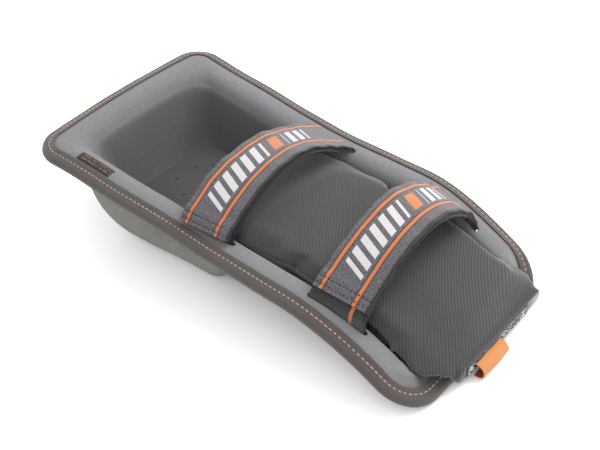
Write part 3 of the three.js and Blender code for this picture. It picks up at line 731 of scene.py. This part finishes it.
# rings closed by one more column so that the weave has no jump
stack = np.array([np.vstack([r, r[:1]]) for r in rings])
stack[..., 2] += 0.18 * np.sin(arc / 9.0)[None, :] * (np.array([1 if 0.5 < p[0] < 9 else 0.3 for p in prof])[:, None])
n = N_RING + 1
verts = stack.reshape(-1, 3)
faces = grid_faces(len(prof), n, wrap=False)
faces += [((len(prof) - 1) * n + k, (len(prof) - 1) * n + k + 1, k + 1, k) for k in range(n - 1)]
uvs = np.array([[arc[k], pv[j]] for j in range(len(prof)) for k in range(n)])
bind = link("rim_binding_tape", make_mesh("binding", verts, faces, uvs), [M_BIND], "pad_shell", angle=60)
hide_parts("rim_binding")


# ---------------------------------------------------------------- stitches
def capsules(name, places, radius, mat, body, replaced=(), sink=0.25):
    """small rounded stitches; places are (start, end, up) in the drawing frame, mm"""
    v, f, uv = [], [], []
    K = 7
    for a, b, up in places:
        a, b, up = np.array(a, float), np.array(b, float), np.array(up, float)
        t = b - a
        L = np.linalg.norm(t)
        t = t / L
        side = np.cross(up, t)
        side /= np.linalg.norm(side)
        base = len(v)
        for s, r, h in ((0.0, 0.25, -1.0), (0.08, 0.75, -0.4), (0.28, 1.0, 0.15), (0.5, 1.0, 0.3), (0.72, 1.0, 0.15), (0.92, 0.75, -0.4), (1.0, 0.25, -1.0)):
            c = a + t * L * s + up * (h * radius - sink)
            for k in range(K):
                w = 2 * math.pi * k / K
                v.append(c + (side * math.cos(w) + up * math.sin(w) * 0.8) * radius * r)
                uv.append((k * 0.4, s * L))
        f += grid_faces(7, K, base=base)
        f += [tuple(base + k for k in range(K)), tuple(base + 6 * K + k for k in range(K))]
    ob = link(name, make_mesh(name, v, f, uv), [mat], body)
    if replaced:
        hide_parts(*replaced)
    return ob


st = tape_ring(6.2, lip(6.2) + 1.2)
st = np.vstack([st, st[:1]])
sl = np.concatenate([[0], np.cumsum(np.linalg.norm(np.diff(st, axis=0), axis=1))])
pitch = sl[-1] / round(sl[-1] / 4.2)
places = []
for k in range(int(round(sl[-1] / pitch))):
    s0 = k * pitch + 0.45
    s1 = s0 + pitch - 0.9
    a = np.array([np.interp(s0, sl, st[:, i]) for i in range(3)])
    b = np.array([np.interp(s1, sl, st[:, i]) for i in range(3)])
    j = np.array([rng.uniform(-0.12, 0.12), rng.uniform(-0.12, 0.12), 0])
    places.append((a + j, b - j, (0, 0, 1)))
capsules("rim_stitches", places, 0.48, M_THREAD, "pad_shell", ["rim_stitching"], sink=0.1)


# ------------------------------------------------------------------ straps
def offset_path(path, d):
    p = np.asarray(path, float)
    t = np.empty_like(p)
    t[1:-1] = p[2:] - p[:-2]
    t[0], t[-1] = p[1] - p[0], p[-1] - p[-2]
    t /= np.linalg.norm(t, axis=1, keepdims=True)
    return np.column_stack([p[:, 0] - t[:, 1] * d, p[:, 1] + t[:, 0] * d])


UPPER_A = [[-77.6, 11.6], [-73.4, 17.6], [-66.5, 23.4], [-57, 30], [-42, 37.4], [-25, 42.2], [-8, 43.6], [8, 41.8], [25, 36.4], [40, 29.4], [54, 21.2], [65, 14.6], [71.2, 10.6], [73, 8.4]]
UPPER_B = [[-68.4, 16.4], [-61, 22], [-49, 30], [-35, 38], [-18, 44.8], [0, 48], [14, 47.2], [30, 42.2], [44, 34.4], [56, 24.6], [65, 15.4], [70, 9.6], [71.2, 7.8]]
HOOK_D = -(BAND_T / 2 + LAYER_GAP + HOOK_T / 2)
LOWER_D = -(BAND_T / 2 + LAYER_GAP + HOOK_T + LAYER_GAP + LOWER_T / 2)
LOWER_A = [[-73, -13.5], [-73, 2], [-72.6, 9]] + offset_path(UPPER_A, LOWER_D)[2:11].tolist()
LOWER_B = [[-71, -10.5], [-71, -2], [-70.9, 7], [-68.8, 12.8]] + offset_path(UPPER_B, LOWER_D)[1:10].tolist()


def lean_a(k):
    return lambda y: 0.12 * ease((y * k + 50) / 46) * ease((70 - y * k) / 46)


def lean_b(y):
    return -0.2 * ease((y - 57) / 13) - 0.09 * ease((-y - 40) / 28)


def ribbon(name, path, thick, xm, width, slant, lean, mats, body, replaced, hem=0.0, wave=0.0, seed=0, dark_edge=True):
    """a band with rounded edges along a path of (y, z) points; uv: across, along"""
    path = np.asarray(path, float)
    seg = np.concatenate([[0], np.cumsum(np.linalg.norm(np.diff(path, axis=0), axis=1))])
    tt = np.empty_like(path)
    tt[1:-1] = path[2:] - path[:-2]
    tt[0], tt[-1] = path[1] - path[0], path[-1] - path[-2]
    tt /= np.linalg.norm(tt, axis=1, keepdims=True)
    nrm = np.column_stack([-tt[:, 1], tt[:, 0]])
    w = width / 2
    us = np.linspace(-w + 0.9, w - 0.9, 23)
    sec = [(u, 0.5) for u in us] + [(w - 0.35, 0.42), (w, 0.12), (w, -0.12), (w - 0.35, -0.42)] + [(u, -0.5) for u in us[::-1]] + [(-w + 0.35, -0.42), (-w, -0.12), (-w, 0.12), (-w + 0.35, 0.42)]
    K = len(sec)
    v, uv = [], []
    ph = [seed * 1.7 + 0.3, seed * 2.3 + 1.1]
    for i, p in enumerate(path):
        s = seg[i]
        for u, h in sec:
            th = thick
            # a folded hem is thicker, and dips along its two seams
            if hem:
                th = thick + 0.9 * (1 - ease((s - hem) / 2.0))
                for q in (3.6, 8.6):
                    th -= 0.5 * math.exp(-(((s - q) / 0.8) ** 2)) if h > 0 else 0
            # bound edges stand a little proud
            if h > 0:
                th += 0.25 * math.exp(-(((abs(u) - (w - 1.6)) / 0.9) ** 2)) * 2 - 0.25 * math.exp(-(((abs(u) - (w - 3.0)) / 0.5) ** 2)) * 1.2
            off = h * th + (0 if h < 0 else 0)
            edge = (abs(u) / w) ** 2
            bend = wave * edge * math.sin(s / 11.0 + (ph[0] if u < 0 else ph[1])) * math.sin(s / 4.7 + ph[1])
            n_off = off + bend * (1 - ease((s - seg[-1] + 14) / 12)) * ease(s / 10 + 0.2)
            sx = u / w
            y = (p[0] + nrm[i, 0] * n_off) * (1 - slant / 71 * sx)
            z = p[1] + nrm[i, 1] * n_off + float(lean(p[0])) * u
            v.append((xm + u, y, z))
            uv.append((u, s))
    n = len(path)
    f = grid_faces(n, K) + [tuple(range(K)), tuple((n - 1) * K + k for k in range(K))]
    ob = link(name, make_mesh(name, v, f, uv), mats, body, angle=50)
    if dark_edge:
        ob.data.materials.append(M_BLACK if dark_edge is True else dark_edge)
        at = len(ob.data.materials) - 1
        for p in ob.data.polygons:
            us_ = [ob.data.uv_layers[0].data[l].uv[0] for l in p.loop_indices]
            if all(abs(q) > w - 0.5 for q in us_):
                p.material_index = at
    if replaced:
        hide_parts(*replaced)

    def at_point(s, u, lift):
        """a point on the face of the band, and its up direction"""
        y0, z0 = np.interp(s, seg, path[:, 0]), np.interp(s, seg, path[:, 1])
        ny, nz = np.interp(s, seg, nrm[:, 0]), np.interp(s, seg, nrm[:, 1])
        return (xm + u, (y0 + ny * lift) * (1 - slant / 71 * u / w), z0 + nz * lift + float(lean(y0)) * u), (0, ny, nz)

    ob["len_mm"] = float(seg[-1])
    return ob, at_point


def hem_rows(name, at_point, thick, body, rows, width):
    pl = []
    for s in rows:
        u = -width / 2 + 1.6
        while u < width / 2 - 3.2:
            a, up = at_point(s, u, thick / 2 + 0.36)
            b, _ = at_point(s + rng.uniform(-0.15, 0.15), u + 2.3, thick / 2 + 0.36)
            pl.append((a, b, up))
            u += 3.0
    return capsules(name, pl, 0.42, M_BLACK, body, sink=0.12)


FA, FB = spline(UPPER_A, 9), spline(UPPER_B, 9)
FLA, FLB = spline(LOWER_A, 9), spline(LOWER_B, 9)
up_a, at_a = ribbon("strap_a_band", FA, BAND_T, A_X, STRAP_W, 2.5, lean_a(1), [M_WEB_A], None, ["strap_a_upper_band"], hem=12.5, wave=0.95, seed=1)


def bend_at_slot(ob):
    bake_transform(ob)


up_b, at_b = ribbon("strap_b_band", FB, BAND_T, B_X, STRAP_W, 3.0, lean_b, [M_WEB_B], None, ["strap_b_upper_band"], hem=12.5, wave=0.95, seed=3)
bend_at_slot(up_a)
bend_at_slot(up_b)
hem_rows("strap_a_hem_stitches", at_a, BAND_T, "strap_a", (3.6, 8.6), STRAP_W)
hem_rows("strap_b_hem_stitches", at_b, BAND_T, "strap_b", (3.6, 8.6), STRAP_W)
ribbon("strap_a_hook", offset_path(FA, HOOK_D)[: 10 * 9 + 1], HOOK_T, A_X, STRAP_W - 2, 2.5, lean_a(1.028), [M_HOOK], "strap_a", ["strap_a_hook_tape"], dark_edge=False)
ribbon("strap_b_hook", offset_path(FB, HOOK_D)[9: 9 * 9 + 1], HOOK_T, B_X, STRAP_W - 2, 3.0, lean_b, [M_HOOK], "strap_b", ["strap_b_hook_tape"], dark_edge=False)
ribbon("strap_a_base_band", FLA, LOWER_T, A_X, STRAP_W, 2.5, lean_a(1.055), [M_WEB_PAINTED_SHADE], "pad_shell", ["strap_a_lower_band"], seed=5)
ribbon("strap_b_base_band", FLB, LOWER_T, B_X, STRAP_W, 3.0, lean_b, [M_WEB_PAINTED_SHADE], "pad_shell", ["strap_b_lower_band"], seed=6)
ribbon("strap_a_tail", spline([[73, 5.6], [73, -1], [73, -13.5]], 6), BAND_T, A_X, STRAP_W, 2.5, lean_a(1), [M_WEB_PAINTED_SHADE], "pad_shell", ["strap_a_anchor_tail"], seed=7)
ribbon("strap_b_tail", spline([[71, 6.4], [71, -2], [71, -8.5]], 6), BAND_T, B_X, STRAP_W, 3.0, lean_b, [M_WEB_PAINTED_SHADE], "pad_shell", ["strap_b_anchor_tail"], seed=8)

# ----------------------------------------------------------------- cushions
C_X = [-26, -22, -8, 12, 45, 78, 108, 132, 154, 168, 178, 187, 192, 194.6]
C_EDGE = [-10, -2.5, 0.5, 4.0, 6.2, 6.8, 6.0, 0.6, -7.2, -12.4, -16.0, -18.8, -20.2, -21.4]
C_CROWN = [2, 5, 5.4, 3.8, 2.6, 2.0, 2.2, 3.6, 5.6, 6.4, 6.4, 5.8, 3.8, 2.2]
C_NEAR = [58, 61.5, 63.5, 65.4, 66.4, 67.0, 67.0, 67.6, 69.2, 66.6, 61.5, 54.0, 50.0, 46.5]
C_FAR = [58, 61.5, 62.0, 62.4, 63.2, 64.0, 64.6, 65.4, 66.6, 68.0, 68.4, 67.0, 65.0, 61.5]


def liner_z(x, y):
    """height of the liner's surface beside the tray"""
    o = float(half_width(x)) - abs(y)
    crest = float(rim_z(x)) + 5.4
    dd = crest - float(floor_z(x))
    q = min(max(dd / 36, -0.1), 1)
    z = [crest - k * q for k in (0, 0.9, 4.0, 9.5, 17)] + [crest - (17 * q + (dd - 17 * q) * f) for f in (0.62, 0.9, 1)]
    return float(np.interp(o, [17, 22, 26.5, 30, 33, 36.5, 40.5, 46.5], z))



def cushion_mesh():
    xs = np.concatenate([[-26, -25, -23], np.linspace(-20, 185, 72), [187.5, 190, 192, 193.5, 194.6]])
    rows = []
    for x in xs:
        near, far, e, c = (float(np.interp(x, C_X, q)) for q in (C_NEAR, C_FAR, C_EDGE, C_CROWN))
        bottom = -23.4

        def wall(h):
            foot = min(h - 1, 48.5)
            return foot, [(lerp(foot, h, t), min(max(bottom + 0.2, liner_z(x, lerp(foot, h, t)) + 0.9), e - 1.2 * (1 - t) - 0.5)) for t in (0.18, 0.36, 0.54, 0.70, 0.84, 0.94, 1.0)]

        fn, wn_ = wall(near)
        ff, wf = wall(far)
        sec = [(-fn, bottom)] + [(-y, z) for y, z in wn_]
        for k in (-1, -0.95, -0.86, -0.7, -0.5, -0.25, 0, 0.25, 0.5, 0.7, 0.86, 0.95, 1):
            sec.append((k * (near if k < 0 else far), e + c * (1 - abs(k) ** 2.6)))
        sec += [(y, z) for y, z in reversed(wf)] + [(ff, bottom), (16, bottom), (-16, bottom)]
        rows.append([(x, y, z) for y, z in sec])
    r, k = len(rows), len(rows[0])
    v = [p for row in rows for p in row]
    f = grid_faces(r, k) + [tuple(range(k)), tuple((r - 1) * k + i for i in range(k))]
    return make_mesh("cushion", v, f)


def pad_mesh():
    v, f = [], []
    prof = [(0.0, 0.0), (0.5, 0.1), (1.0, 0.35), (1.0, 0.65), (0.75, 0.88), (0.1, 1.0), (-2.5, 1.05)]
    xa, xb, hy, r = -138.4, -62.5, 48.0, 24
    rows = []
    for o, t in prof:
        ring = []
        for cx, cy, a0 in ((xb - r, hy - r, 0), (xa + r, hy - r, 90), (xa + r, -hy + r, 180), (xb - r, -hy + r, 270)):
            for k in range(13):
                a = math.radians(a0 + 90 * k / 12)
                ring.append((cx + (r + o - 1.0) * math.cos(a), cy + (r + o - 1.0) * math.sin(a)))
        rows.append([(x, y, float(ground(x)) + 23.2 + 10.5 * t) for x, y in ring])
    n = len(rows[0])
    v = [p for row in rows for p in row]
    f = grid_faces(len(rows), n) + [tuple(range(n)), tuple((len(rows) - 1) * n + k for k in range(n))]
    return make_mesh("pad", v, f)


def inflate(me, voxel, pressure, cap, hold=None):
    """voxel remesh, then a short pressure run with its result applied"""
    ob = bpy.data.objects.new("soft_tmp", me)
    scene.collection.objects.link(ob)
    mod = ob.modifiers.new("r", "REMESH")
    mod.mode, mod.voxel_size = "VOXEL", voxel
    dg = bpy.context.evaluated_depsgraph_get()
    dg.update()
    me2 = bpy.data.meshes.new_from_object(ob.evaluated_get(dg))
    ob.modifiers.clear()
    ob.data = me2
    rest = np.array([v.co for v in me2.vertices])
    cl = ob.modifiers.new("c", "CLOTH")
    s = cl.settings
    s.use_pressure, s.uniform_pressure_force = True, pressure
    s.tension_stiffness = s.compression_stiffness = 25
    s.bending_stiffness = 2.0
    s.quality = 6
    s.effector_weights.gravity = 0
    for f in range(1, 21):
        scene.frame_set(f)
    dg = bpy.context.evaluated_depsgraph_get()
    ev = ob.evaluated_get(dg)
    now = np.array([v.co for v in ev.data.vertices])
    if now.shape == rest.shape and np.isfinite(now).all():
        d = now - rest
        n = np.linalg.norm(d, axis=1, keepdims=True)
        d *= np.minimum(1, cap / np.maximum(n, 1e-9))
        if hold is not None:
            d *= hold(rest)[:, None]
        rest = rest + d
    ob.modifiers.clear()
    scene.frame_set(1)
    me2.vertices.foreach_set("co", rest.astype(np.float32).ravel())
    sub = ob.modifiers.new("s", "SUBSURF")
    sub.levels = sub.render_levels = 1
    dg = bpy.context.evaluated_depsgraph_get()
    dg.update()
    out = bpy.data.meshes.new_from_object(ob.evaluated_get(dg))
    bpy.data.objects.remove(ob)
    return out


def keep_upper(co):
    """the top is free; the foot that rests on the tray barely moves"""
    z = co[:, 2] * 1000
    x = co[:, 0] * 1000
    base = -(x - PX) * SI - 23.4 * CO + PZ
    return np.clip((z - base - 3) / 10, 0, 1)


cushion = link("shin_cushion", inflate(cushion_mesh(), 0.0045, 4.0, 0.006, keep_upper), [M_CUSHION], "shin_cushion_unit")
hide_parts("shin_cushion_cover", "shin_cushion_core")

HOLES = [(-113.8, -10.7), (-112.2, 11.3), (-100.2, 22.1), (-92.9, -22.5)]
M_PAD = pad_material([(W((x, y, float(ground(x)) + 33.7))[0], y / 1000) for x, y in HOLES])
kp_base = W((-100, 0, float(ground(-100)) + 23.4))[2]
pad = link("knee_pad_foam", inflate(pad_mesh(), 0.004, 3.0, 0.0025, lambda co: np.clip((co[:, 2] - kp_base - 0.003) / 0.006, 0, 1)), [M_PAD], "knee_pad_unit")
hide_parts("knee_pad")


# ------------------------------------------------- hood, labels, tab, soles
def slab(name, xa, xb, ya, yb, za, zb, r, mat, body, replaced=(), top_slope=0.0, puff=0.0):
    """a soft-edged panel that stands across the pad, rounded in its own plane and at its edges"""
    v, cols = [], []
    n = 8
    outline = []
    for cy, cz, a0 in ((yb - r, zb - r, 0), (ya + r, zb - r, 90), (ya + r, za + r, 180), (yb - r, za + r, 270)):
        for k in range(n + 1):
            a = math.radians(a0 + 90 * k / n)
            outline.append((cy, cz, math.cos(a), math.sin(a)))
    t = xb - xa
    prof = [(-0.5, 0.0), (-0.42, 0.6), (-0.2, 0.95), (0.1, 1.0), (0.35, 0.8), (0.5, 0.2)]
    rows = []
    for h, o in prof:
        rows.append([((xa + xb) / 2 + h * t, cy + (r - 1.2 + o * 1.2) * c, cz + (r - 1.2 + o * 1.2) * s) for cy, cz, c, s in outline])
    for q in (0.75, 0.45, 0.15):
        rows.append([((xa + xb) / 2 + 0.5 * t + puff * (1 - q * q), lerp((ya + yb) / 2, y, q), lerp((za + zb) / 2, z, q)) for _, y, z in rows[5]])
    k = len(outline)
    v = [p for row in rows for p in row]
    f = grid_faces(len(rows), k) + [tuple(range(k)), tuple((len(rows) - 1) * k + i for i in range(k))]
    uv = [(p[1] - (ya + yb) / 2, p[2] - (za + zb) / 2) for p in v]
    ob = link(name, make_mesh(name, v, f, uv), [mat], body)
    if replaced:
        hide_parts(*replaced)
    return ob


slab("cushion_hood", 187.6, 196.2, -44, 63, -32.4, -18.0, 6.5, M_CUSHION, "shin_cushion_unit")
M_CARE = label_material("care_label_satin", (340, 338, 340), (260, 258, 262), 2.3, 2.3, 0.88, 37.0, 4.6)
care = slab("care_label_tag", 196.3, 197.1, -34, 44, -31, -20.4, 0.8, M_CARE, "shin_cushion_unit", ["care_label"])
M_RIML = label_material("rim_label_satin", (214, 116, 62), (150, 84, 52), 4.2, 2.1, 0.7, 14.0, 1.9)


def rim_label():
    xs = np.linspace(-147.5, -111.5, 25)
    os_ = np.linspace(12, 20, 7)
    v, uv = [], []
    for top in (0, 1):
        for x in xs:
            for o in os_:
                l11 = lip(11.5)
                z = lerp(l11, 5.4, (o - 11.5) / 5.5) if o < 17 else lerp(5.4, 4.5, (o - 17) / 5)
                edge = 1 if (o in (os_[0], os_[-1]) or x in (xs[0], xs[-1])) else 0
                v.append((x, -(float(half_width(x)) - o), float(rim_z(x)) + z + 0.42 + (0.75 - 0.4 * edge) * top))
                uv.append((x + 129.5, o - 16))
    k, m = len(os_), len(xs)
    f = grid_faces(m, k, wrap=False) + grid_faces(m, k, wrap=False, base=m * k)
    for i in range(m - 1):
        for c in (0, k - 1):
            f.append((i * k + c, (i + 1) * k + c, m * k + (i + 1) * k + c, m * k + i * k + c))
    for i in range(k - 1):
        for rr in (0, m - 1):
            f.append((rr * k + i, rr * k + i + 1, m * k + rr * k + i + 1, m * k + rr * k + i))
    ob = link("rim_label_patch", make_mesh("rim_label", v, f, uv), [M_RIML], "pad_shell")
    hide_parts("rim_label")


rim_label()


def tab():
    path = [[197.4, -25.0], [200.4, -25.2], [203.2, -26.9], [204.85, -29.5], [204.95, -32.5], [203.7, -35.2], [200.9, -36.7], [197.4, -37.0]]
    fine = spline(path, 6)
    seg = np.concatenate([[0], np.cumsum(np.linalg.norm(np.diff(fine, axis=0), axis=1))])
    tt = np.gradient(fine, axis=0)
    tt /= np.linalg.norm(tt, axis=1, keepdims=True)
    nrm = np.column_stack([-tt[:, 1], tt[:, 0]])
    ys = np.linspace(-24, 7, 15)
    v, uv = [], []
    sec = [(y, 0.5) for y in ys] + [(y, -0.5) for y in ys[::-1]]
    for i, p in enumerate(fine):
        for y, h in sec:
            flare = 0.4 * math.sin((y + 24) / 31 * math.pi) * math.sin(seg[i] / seg[-1] * math.pi)
            v.append((p[0] + nrm[i, 0] * (h + flare), y, p[1] + nrm[i, 1] * (h + flare)))
            uv.append((y, seg[i]))
    n, k = len(fine), len(sec)
    f = grid_faces(n, k) + [tuple(range(k)), tuple((n - 1) * k + i for i in range(k))]
    me = make_mesh("tab", v, f, uv)
    ob = link("pull_tab_ribbon", me, [M_TAB, M_TAB_SHADE], "tab_unit", angle=50)
    cen = np.array([201.0, 0, -31.0])
    for p in me.polygons:
        c = np.array(p.center) * 1000
        x = (c[0] - PX) * CO - (c[2] - PZ) * SI
        z = (c[0] - PX) * SI + (c[2] - PZ) * CO
        nn = D((1, 0, 0)).dot(p.normal) * (x - cen[0]) + D((0, 0, 1)).dot(p.normal) * (z - cen[2])
        # faces turned into the loop get the darker copy: painted shade
        if nn < 0 and abs(p.normal.y) < 0.5:
            p.material_index = 1
    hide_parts("pull_tab")


tab()

for name, m in (("knee_outsole", M_RUBBER), ("shin_outsole", M_RUBBER), ("knee_pad_hook_patch", M_HOOK), ("cup_loop_patch", M_HOOK), ("cushion_hook_patch", M_HOOK),
                ("tray_loop_patch", M_HOOK), ("cushion_base_sheet", M_SHEET)):
    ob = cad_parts[name]
    ob.data.materials.clear()
    ob.data.materials.append(m)


# ---------------------------------------------------------- floor and light
def floor():
    me = bpy.data.meshes.new("floor")
    s = 4.0
    me.from_pydata([(-s, -s, 0), (s, -s, 0), (s, s, 0), (-s, s, 0)], [], [(0, 1, 2, 3)])
    ob = bpy.data.objects.new("floor", me)
    scene.collection.objects.link(ob)
    m = bpy.data.materials.new("floor_paper")
    m.use_nodes = True
    b = m.node_tree.nodes["Principled BSDF"]
    b.inputs["Base Color"].default_value = (0.93, 0.93, 0.93, 1)
    b.inputs["Roughness"].default_value = 0.9
    b.inputs["Specular IOR Level"].default_value = 0.0
    me.materials.append(m)


floor()
world = bpy.data.worlds.new("studio") if scene.world is None else scene.world
scene.world = world
world.use_nodes = True
bg = world.node_tree.nodes.get("Background")
bg.inputs[0].default_value = (1.0, 1.0, 1.0, 1)
bg.inputs[1].default_value = 1.28


def area(name, loc, target, size, power):
    l = bpy.data.lights.new(name, "AREA")
    l.shape, l.size, l.energy = "DISK", size, power
    o = bpy.data.objects.new(name, l)
    scene.collection.objects.link(o)
    o.location = loc
    o.rotation_euler = (Vector(target) - Vector(loc)).to_track_quat("-Z", "Y").to_euler()


area("key", (0.35, 0.55, 1.0), (0, 0, 0), 0.9, 18)
area("fill", (0.5, -0.7, 0.9), (0, 0, 0), 1.0, 5)

# ------------------------------------------------------------------ camera
AZ, EL, F, DIST, OX, OY = math.radians(40.75), math.radians(43.6), 1013.72, 790.25, -12.18, 23.14
r = np.array([math.cos(AZ), math.sin(AZ), 0])
d = np.array([-math.sin(AZ) * math.cos(EL), math.cos(AZ) * math.cos(EL), -math.sin(EL)])
u = np.cross(r, d)
O = -OX * r - OY * u - DIST * d
cam = bpy.data.cameras.new("camera")
cam.sensor_width, cam.lens = 36, F * 36 / 600
cam.clip_start, cam.clip_end = 0.01, 20
co = bpy.data.objects.new("camera", cam)
scene.collection.objects.link(co)
mw = Matrix.Identity(4)
for i, col in enumerate((D(r), D(u), -D(d))):
    for k in range(3):
        mw[k][i] = col[k]
for k in range(3):
    mw[k][3] = W(O)[k]
co.matrix_world = mw
scene.camera = co
scene.view_settings.view_transform = "Standard"
scene.view_settings.look = "None"
